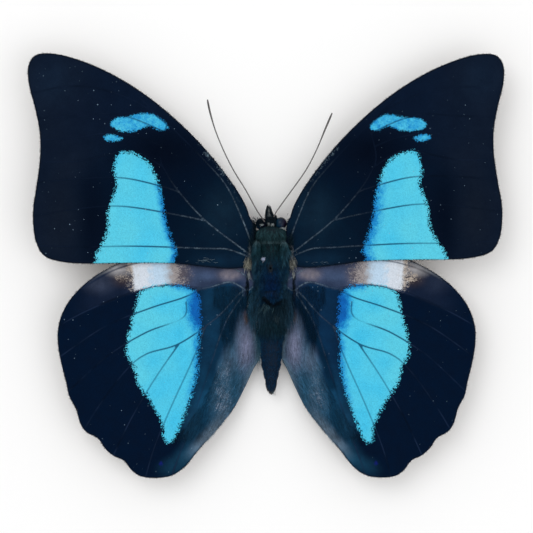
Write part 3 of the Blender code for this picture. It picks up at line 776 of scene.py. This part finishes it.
def ground_colors(n, picks, jitter, vein):
    """The dark ground, with pale scales and, near the root, pale veins."""
    patch = n.ramp(n.noise(2.4, 3), 0.3, 0.7)
    ground = n.mix(n.times(patch, 0.35), n.read("top", "Color"), (5, 10, 22))
    frost = n.plus(n.read("frost"), n.swing(n.noise(1.6, 4), 0.9))
    frost = n.plus(frost, n.times(jitter, 0.4))
    cover = n.times(n.ramp(frost, 0.34, 0.68), n.ramp(n.read("frost"), 0.02, 0.12))
    ground = n.mix(cover, ground, n.read("rime", "Color"))
    dark = n.times(n.ramp(vein, 0.1, 0.3, 1, 0), n.ramp(n.noise(5, 2), 0.35, 0.65, 0.1, 0.55))
    ground = n.mix(dark, ground, (3, 7, 15))
    rib = n.times(n.ramp(vein, 0.05, 0.2, 1, 0), n.ramp(n.noise(6, 2), 0.4, 0.6, 0, 0.55))
    ground = n.mix(n.times(rib, n.read("rib")), ground, (28, 42, 68))
    worn = n.ramp(n.noise(1.1, 2), 0.3, 0.7, 0.15, 1)
    broken = n.times(worn, n.ramp(picks[1], 0.1, 0.6, 0.2, 1))
    light = n.times(n.times(n.ramp(vein, 0.06, 0.2, 1, 0), n.read("pale")), broken)
    return n.mix(n.times(light, 0.7), ground, (112, 132, 146))


def scale_material():
    """The upper side: dark scales, ragged turquoise bands and stray specks."""
    n = Nodes("wing_top")
    picks = n.cell_picks(SCALE_SIZE)
    jitter = n.swing(picks[0], 1.05)
    vein = n.read("vein")
    wave = n.swing(n.noise(0.8, 3), 1.1)
    calm = n.times(n.plus(wave, jitter), n.ramp(n.read("soft"), 0, 1, 1, 0.5))
    band = n.ramp(n.plus(n.read("band"), calm), -0.1, 0.16)
    ground = ground_colors(n, picks, jitter, vein)
    color = n.mix(band, ground, band_colors(n, picks, jitter, vein))
    color = n.shaded(color, n.plus(n.times(picks[1], 0.2), 0.9))
    chosen = n.cell_picks(1)
    dusty = n.ramp(n.noise(9, 3), 0.4, 0.62, 0.45, 1)
    reach = n.times(n.ramp(chosen[1], 0.2, 1, 0, 0.135), dusty)
    speck = n.times(n.math("LESS_THAN", n.cells(1), reach), n.ramp(chosen[0], 0, 1, 0.2, 1))
    color = n.mix(n.times(speck, 0.7), color, (130, 156, 176))
    grain = n.plus(n.cells(SCALE_SIZE), n.times(n.noise(1.2, 3), 1.5))
    return n.finish(Base_Color=color, Roughness=0.55, Specular_IOR_Level=0.1,
                    Specular_Tint=(0.12, 0.3, 0.8, 1), Normal=n.bump(grain, 0.35, 0.05))


def under_material():
    """The lower side: marbled browns and greys like a dead leaf."""
    n = Nodes("wing_under")
    color = n.read("under", "Color")
    for size, detail, low, high, strength, tone in MARBLING:
        color = n.mix(n.ramp(n.noise(size, detail), low, high, 0, strength), color, tone)
    color = n.mix(n.ramp(n.read("vein"), 0.08, 0.25, 0.6, 0), color, (70, 56, 44))
    color = n.shaded(color, n.plus(n.times(n.cell_picks(SCALE_SIZE)[0], 0.3), 0.85))
    return n.finish(Base_Color=color, Roughness=0.7, Specular_IOR_Level=0.25,
                    Normal=n.bump(n.cells(SCALE_SIZE), 0.3, 0.04))


# Hair


def node_surface(names):
    """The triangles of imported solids: their corners and normals, in millimetres."""
    corners, normals = [], []
    for name in names:
        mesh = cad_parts[name].data
        mesh.calc_loop_triangles()
        points = np.array([v.co for v in mesh.vertices]) / MM
        faces = np.array([t.vertices for t in mesh.loop_triangles])
        corners.append(points[faces])
        normals.append(np.array([mesh.vertices[i].normal for i in faces.ravel()]).reshape(-1, 3, 3))
    return np.vstack(corners), np.vstack(normals)


def scatter(names, count, keep=None):
    """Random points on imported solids, evenly spread, with their normals."""
    corners, normals = node_surface(names)
    cross = np.cross(corners[:, 1] - corners[:, 0], corners[:, 2] - corners[:, 0])
    area = np.linalg.norm(cross, axis=1)
    pick = RNG.choice(len(corners), count, p=area / area.sum())
    u, v = RNG.random(count), RNG.random(count)
    fold = u + v > 1
    u[fold], v[fold] = 1 - u[fold], 1 - v[fold]
    shares = np.column_stack([1 - u - v, u, v])[:, :, None]
    points = (corners[pick] * shares).sum(axis=1)
    facing = (normals[pick] * shares).sum(axis=1)
    facing /= np.linalg.norm(facing, axis=1)[:, None]
    if keep is not None:
        chosen = keep(points, facing)
        points, facing = points[chosen], facing[chosen]
    return points, facing


def unit(vectors):
    return vectors / np.maximum(np.linalg.norm(vectors, axis=1), 1e-9)[:, None]


def hair(name, roots, aims, lengths, tints, material, width, bends=0):
    """Tapered three-sided hairs; bends is how their outer halves turn."""
    count = len(roots)
    aims = unit(aims)
    tips = unit(aims + bends)
    across = unit(np.cross(aims, RNG.normal(size=(count, 3))))
    other = np.cross(aims, across)
    middle = roots + aims * (lengths * 0.5)[:, None]
    end = middle + tips * (lengths * 0.5)[:, None]
    rings = []
    for centre, radius in zip((roots - aims * HAIR_SINK, middle), HAIR_RADII):
        for corner in range(3):
            angle = 2 * np.pi * corner / 3
            rim = across * math.cos(angle) + other * math.sin(angle)
            rings.append(centre + rim * radius * width)
    points = np.stack(rings + [end], axis=1)
    faces = np.arange(count)[:, None, None] * points.shape[1] + np.array(HAIR_FACES)[None]
    thing = mesh_object(name, points.reshape(-1, 3) * MM, faces.reshape(-1, 3), [material])
    # painted shade at each hair's root and painted light at its point
    shade = np.repeat(HAIR_PAINTED_SHADES, [3, 3, 1])
    store(thing.data, "tint", (tints[:, None, :] * shade[None, :, None]).reshape(-1, 3))


def tint_for(count, color, spread=0.35):
    """One colour a hair, varied in brightness."""
    return color_of(*color)[None] * RNG.uniform(1 - spread, 1 + spread, count)[:, None]


def off_pin_hole(points, place, half_size):
    """Whether each point is clear of an oval round the pin hole, seen from above."""
    away = (points[:, :2] - place) / half_size
    return np.hypot(away[:, 0], away[:, 1]) > 1


def body_color(points, facing):
    """Dark blue behind, greener in front, pale on the collar, brown below; painted shade in
    hollows.
    """
    x, y, z = points.T
    flat = points[:, :2]
    tints = blend(plain(points, (9, 46, 74)), (20, 54, 60), rise(-2, 3, y))
    tints = blend(tints, (42, 72, 78), rise(3.7, 4.3, y))
    collar = rise(3.7, 4.2, y) * fall(4.3, 4.9, y)
    tints = blend(tints, (84, 112, 120), collar * 0.8)
    tints = blend(tints, (6, 40, 84), spot(points, (0.2, -4.6), (2.8, 4.6)))
    tints = blend(tints, (10, 40, 60), fall(-9.5, -7, y))
    groove = line_gap(flat, np.array(GROOVE))
    # painted shade along the scutellum's groove
    tints = blend(tints, (2, 9, 18), fall(0.25, 0.6, groove))
    # painted shade in the pin hole
    tints = blend(tints, (1, 5, 10), spot(points, (0.05, -1.3), (0.9, 1)))
    strands = 0.5 + 0.5 * ripple(flat * [2.2, 0.5], 2.2, 41)
    flank = rise(1.2, 3.4, np.abs(x) + 0.5 * ripple(flat, 3, 42))
    flank = flank * fall(3.5, 4.5, y)
    tints = blend(tints, (46, 80, 96), flank * np.clip(strands, 0.15, 1))
    belly = fall(1.5, 4.6, z) * fall(-0.45, -0.05, facing[:, 2])
    tints = blend(tints, (104, 94, 80), belly)
    tints *= np.clip(1 + 0.4 * ripple(flat * [2.6, 0.6], 1.5, 43), 0.4, 1.8)[:, None]
    return tints * RNG.uniform(0.6, 1.5, len(points))[:, None]


def body_fur(material):
    """Hair combed back over the thorax, longer on its sides and rear."""

    def keep(points, _):
        above_legs = points[:, 2] > 0.5 + 2.2 * RNG.random(len(points))
        return above_legs & off_pin_hole(points, (0.05, -1), (0.5, 1))

    points, facing = scatter(["thorax"], 19000, keep)
    x, y, z = points.T
    low = fall(2, 6.5, z)
    side = rise(1, 4.2, np.abs(x))
    rear = fall(-9, -5.5, y)
    lengths = 0.75 + 0.9 * side + 1.3 * rear * rise(3, 6, z) - 0.2 * low
    lengths *= RNG.uniform(0.6, 1.25, len(points))
    groove = line_gap(points[:, :2], np.array(GROOVE))
    lengths *= 1 - 0.7 * fall(0.4, 1.3, groove)
    comb = np.array([0, -1, 0])
    aims = facing * 0.42 + comb + RNG.normal(size=points.shape) * 0.2
    aims[:, 0] += 0.45 * ripple(points[:, :2] * [1.6, 0.7], 1.6, 44)
    fringe = rise(3.2, 4.2, y) * fall(4.4, 5, y)
    aims += np.outer(fringe, [0, 0.4, 0.3])
    bends = comb * 0.35 - [0, 0, 0.25]
    tints = body_color(points, facing)
    hair("thorax_hair", points, aims, lengths, tints, material, width=0.075, bends=bends)


def body_down(material):
    """A short dense pile under the long hair on top of the thorax."""

    def keep(points, facing):
        upper = (facing[:, 2] > 0.05) & (points[:, 2] > 3)
        return upper & off_pin_hole(points, (0.05, -1.2), (0.48, 0.8))

    points, facing = scatter(["thorax"], 24000, keep)
    aims = facing * 0.3 + np.array([0, -1, 0]) + RNG.normal(size=points.shape) * 0.25
    lengths = RNG.uniform(0.3, 0.65, len(points))
    tints = body_color(points, facing) * 0.8
    hair("thorax_down", points, aims, lengths, tints, material, width=0.06)


def head_fur(material):
    """Short hair on the head and palps, with a pale line between the palps."""

    def keep(points, facing):
        away = np.linalg.norm(points + facing * 0.2 - np.array(EYE_CENTRE["right"]), axis=1)
        return away > EYE_RADIUS + 0.2

    points, facing = scatter(["head", "palp_left", "palp_right"], 4800, keep)
    x, y, _ = points.T
    palp = rise(9.3, 10.3, y)
    aims = facing * (0.5 - 0.3 * palp)[:, None] + np.array([0, 0.9, 0.1])
    aims[:, 0] += palp * (PALP_TIP_X - x) * 0.8
    aims += RNG.normal(size=points.shape) * (0.22 - 0.14 * palp)[:, None]
    lengths = RNG.uniform(0.24, 0.5, len(points)) + 0.3 * rise(10.8, 11.5, y)
    between = fall(0.1, 0.45, np.abs(x + 0.35))
    between = between * rise(9.2, 9.6, y) * fall(10.6, 11.4, y)
    tints = blend(plain(points, (12, 24, 32)), (110, 122, 126), between * 0.7)
    tints *= RNG.uniform(0.5, 1.7, len(points))[:, None]
    hair("head_hair", points, aims, lengths, tints, material, width=0.06)


def leg_fur(material):
    names = [f"{kind}_{side}" for kind in ("foreleg", "mid_leg", "hind_leg") for side in SIDES]
    points, facing = scatter(names, 3600, lambda points, _: points[:, 2] > 0.12)
    facing[:, 2] = np.maximum(facing[:, 2], 0)
    aims = facing * 0.4 + np.array([0, -0.8, 0.05]) + RNG.normal(size=points.shape) * 0.15
    aims[:, 2] = np.maximum(aims[:, 2], 0)
    lengths = RNG.uniform(0.2, 0.4, len(points))
    tints = tint_for(len(points), (96, 84, 70))
    hair("leg_hair", points, aims, lengths, tints, material, width=0.045)


def abdomen_fur(material):
    """Scales lying flat on the abdomen, with long dark hair over its base."""
    points, facing = scatter(["abdomen"], 6500)
    x, y, z = points.T
    base = rise(-17.5, -13.5, y)
    aims = facing * (0.12 + 0.3 * base)[:, None] + np.array([0, -1, -0.1])
    aims += RNG.normal(size=points.shape) * 0.1
    lengths = (0.34 + 1.5 * base) * RNG.uniform(0.7, 1.2, len(points))
    ring = 0.5 + 0.5 * np.sin(y * 2 * np.pi / RING_SPACING)
    tints = blend(plain(points, (2, 42, 72)), (18, 56, 92), rise(0.55, 1, ring) * 0.6)
    tints = blend(tints, (22, 48, 60), base)
    flank = rise(1.2, 2.1, np.abs(x - 0.2)) * (1 - base)
    tints = blend(tints, (20, 58, 88), flank * 0.7)
    belly = fall(3.2, 4.2, z) * (1 - base)
    tints = blend(tints, (96, 88, 76), belly * 0.8)
    tints *= RNG.uniform(0.6, 1.5, len(points))[:, None]
    hair("abdomen_hair", points, aims, lengths, tints, material, width=0.085)


def tufts(material):
    """Pale wing-base tufts, long hair by the abdomen, white marks, and dark tufts as painted shade.
    """
    roots, aims, lengths, tints = [], [], [], []
    for place, spread, heading, length, count, color in TUFTS:
        roots.append(np.array(place) + RNG.normal(size=(count, 3)) * np.array(spread))
        aims.append(np.array(heading) + RNG.normal(size=(count, 3)) * 0.16)
        lengths.append(length * RNG.uniform(0.55, 1.2, count))
        tints.append(tint_for(count, color))
    roots, aims = np.vstack(roots), np.vstack(aims)
    hair("tufts", roots, aims, np.concatenate(lengths), np.vstack(tints), material,
         width=0.07, bends=[0, -0.1, -0.12])


def margin_hair(side, material):
    """Long soft hairs lying on the hindwing beside the abdomen."""
    count = 5200
    y = RNG.uniform(-37, -5, count)
    edge_x, edge_y = np.array(HIND_DORSUM[::-1]).T
    edge = np.maximum(np.interp(-y, -edge_y, edge_x), 4.6 * rise(-12, -8, y))
    inset = 0.25 + 7 * RNG.random(count) ** 1.5
    points = np.column_stack([edge + inset, y])
    roots = on_wing(points, hindwing_height(points) + SHEET, side, HIND_SET[side])
    lean = np.where(y < -20, 0.45, 0.08)
    drop = hindwing_height(points + np.array([0.05, -1])) - hindwing_height(points)
    aims = np.column_stack([SIDES[side] * lean, -np.ones(count), drop + 0.12])
    aims += RNG.normal(size=(count, 3)) * np.array([0.06, 0.1, 0.03])
    lengths = RNG.uniform(1, 2.6, count)
    tints = hindwing_top(points, side) * RNG.uniform(0.6, 1.6, count)[:, None]
    hair(f"margin_hair_{side}", roots, aims, lengths, tints, material,
         width=0.04, bends=[0, -0.1, -0.06])


def wing_fringe(kind, side, material):
    """Tiny scales that stand out from a wing's margin."""
    loop, _, height, settings, _ = WINGS[kind]
    following = np.roll(loop, -1, axis=0)
    spans = np.linalg.norm(following - loop, axis=1)
    count = int(spans.sum() / FRINGE_SPACING)
    pick = RNG.choice(len(loop), count, p=spans / spans.sum())
    share = RNG.random(count)[:, None]
    points = loop[pick] * (1 - share) + following[pick] * share
    ahead = unit(following[pick] - loop[pick])
    turn = np.sign(np.sum(loop[:, 0] * following[:, 1] - following[:, 0] * loop[:, 1]))
    out = np.column_stack([ahead[:, 1], -ahead[:, 0]]) * turn
    chosen = np.abs(points[:, 0]) > FRINGE_FROM
    points, out = points[chosen], out[chosen]
    roots = on_wing(points, height(points), side, settings[side])
    aims = on_wing(points + out, height(points), side, settings[side]) - roots
    aims += RNG.normal(size=aims.shape) * 0.2
    tints = tint_for(len(points), (20, 28, 40), 0.6)
    lengths = RNG.uniform(0.1, 0.3, len(points))
    hair(f"{kind}_fringe_{side}", roots, aims, lengths, tints, material, width=0.06)


def hair_material():
    """Hair of each mesh's own tints, with a dull bluish sheen."""
    n = Nodes("hair")
    color = n.shaded(n.read("tint", "Color"), n.ramp(n.noise(0.6), 0.3, 0.7, 0.75, 1.25))
    return n.finish(Base_Color=color, Roughness=0.5, Specular_IOR_Level=0.15,
                    Specular_Tint=(0.35, 0.6, 0.9, 1))


# Skin and eyes


def shell_material(name, color, dark, size_mm, roughness, belly=None):
    """A horny skin with mottling and fine relief."""
    n = Nodes(name)
    mottle = n.ramp(n.noise(size_mm, 4), 0.3, 0.7)
    mixed = n.mix(mottle, color, dark)
    if belly:
        below = n.mix(mottle, belly, (62, 54, 46))
        mixed = n.mix(n.ramp(n.along(2), 1.5 * MM, 4.5 * MM, 1, 0), mixed, below)
    normal = n.bump(n.noise(size_mm * 0.4, 3), 0.5, 0.03)
    return n.finish(Base_Color=mixed, Roughness=roughness, Specular_IOR_Level=0.12, Normal=normal)


def eye_material():
    """A dark glossy eye, a painted reflection making it blue on one side, violet on the other."""
    n = Nodes("eye")
    mottle = n.ramp(n.noise(1.3, 2), 0.35, 0.65)
    # painted reflection: bluer on the eye's -X side, violet on its +X side, set by place rather
    # than by view
    side = n.ramp(n.along(0), -0.6 * EYE_RADIUS * MM, 0.7 * EYE_RADIUS * MM)
    color = n.mix(side, (14, 50, 72), (26, 14, 40))
    color = n.mix(n.times(mottle, 0.6), color, (6, 10, 20))
    normal = n.bump(n.cells(0.09), 0.25, 0.01)
    return n.finish(Base_Color=color, Roughness=0.1, Specular_IOR_Level=0.12, Normal=normal)


def eyes(material):
    """Smooth domes in place of the faceted eyes."""
    for side, centre in EYE_CENTRE.items():
        bpy.ops.mesh.primitive_uv_sphere_add(
            segments=48, ring_count=24, radius=EYE_RADIUS * MM, location=Vector(centre) * MM)
        dome = bpy.context.object
        dome.name = f"eye_dome_{side}"
        dome.data.materials.append(material)
        dome.data.shade_smooth()
        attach(dome, "root")
        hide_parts(f"eye_{side}")


def round_off(mesh):
    """Shades a faceted solid as round where its faces meet gently."""
    points = np.array([v.co for v in mesh.vertices])
    normals = np.array([p.normal for p in mesh.polygons])
    areas = np.array([p.area for p in mesh.polygons])
    corner_point = np.array([loop.vertex_index for loop in mesh.loops])
    corner_face = np.repeat(np.arange(len(mesh.polygons)), [p.loop_total for p in mesh.polygons])
    places = np.round(points / SAME_POINT).astype(np.int64)
    _, place = np.unique(places, axis=0, return_inverse=True)
    place = place.ravel()[corner_point]
    own = normals[corner_face]
    shared = np.zeros((place.max() + 1, 3))
    np.add.at(shared, place, own * areas[corner_face][:, None])
    soft = unit(shared)[place]
    gentle = np.sum(soft * own, axis=1) > GENTLE_CORNER
    mesh.normals_split_custom_set(np.where(gentle[:, None], soft, own).tolist())


def dress_solids(eye):
    """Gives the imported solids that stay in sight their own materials."""
    body = shell_material("body_skin", (12, 26, 36), (6, 14, 20), 0.5, 0.6, belly=(96, 86, 72))
    rings = shell_material("abdomen_skin", (7, 26, 46), (4, 14, 28), 0.6, 0.5)
    horn = shell_material("antenna_skin", (104, 102, 102), (70, 68, 70), 0.35, 0.45)
    leg = shell_material("leg_skin", (84, 74, 62), (50, 43, 36), 0.3, 0.5)
    chosen = {"thorax": body, "head": body, "palp": body,
              "abdomen": rings, "antenna": horn, "eye": eye}
    for name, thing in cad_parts.items():
        material = chosen.get(name.split("_")[0], leg)
        thing.data.materials.clear()
        thing.data.materials.append(material)
        round_off(thing.data)


# Stage


def build_stage():
    bpy.ops.mesh.primitive_plane_add(size=FLOOR_SIZE, location=(0, 0, 0))
    floor = bpy.context.object
    floor.name = "floor"
    n = Nodes("floor")
    white = n.finish(Base_Color=(0.95, 0.95, 0.95, 1), Roughness=0.9, Specular_IOR_Level=0.1)
    floor.data.materials.append(white)
    world = bpy.data.worlds.new("studio")
    world.use_nodes = True
    backdrop = world.node_tree.nodes["Background"]
    backdrop.inputs["Color"].default_value = (1, 1, 1, 1)
    backdrop.inputs["Strength"].default_value = WORLD_LIGHT
    bpy.context.scene.world = world
    for name, place, size, power in LAMPS:
        light = bpy.data.lights.new(name, "AREA")
        light.size = size
        light.energy = power
        lamp = bpy.data.objects.new(name, light)
        lamp.location = place
        lamp.rotation_euler = (-Vector(place)).to_track_quat("-Z", "Y").to_euler()
        bpy.context.scene.collection.objects.link(lamp)
    bpy.context.scene.view_settings.view_transform = "Standard"


def build_camera():
    lens = bpy.data.cameras.new("camera")
    lens.lens = LENS
    lens.sensor_width = SENSOR
    lens.clip_start = 0.01
    camera = bpy.data.objects.new("camera", lens)
    width = PHOTO_WIDTH * PHOTO_MM_PER_PIXEL
    height = WING_LEVEL + width * LENS / SENSOR
    camera.location = Vector((*PHOTO_CENTRE, height)) * MM
    bpy.context.scene.collection.objects.link(camera)
    bpy.context.scene.camera = camera


build_camera()
build_stage()
eye_look = eye_material()
dress_solids(eye_look)
wing_materials = [scale_material(), under_material()]
for wing_side in SIDES:
    for wing_kind in WINGS:
        wing(wing_kind, wing_side, wing_materials)
fur = hair_material()
eyes(eye_look)
for grow in (body_fur, body_down, head_fur, abdomen_fur, leg_fur, tufts):
    grow(fur)
for wing_side in SIDES:
    margin_hair(wing_side, fur)
    for wing_kind in WINGS:
        wing_fringe(wing_kind, wing_side, fur)
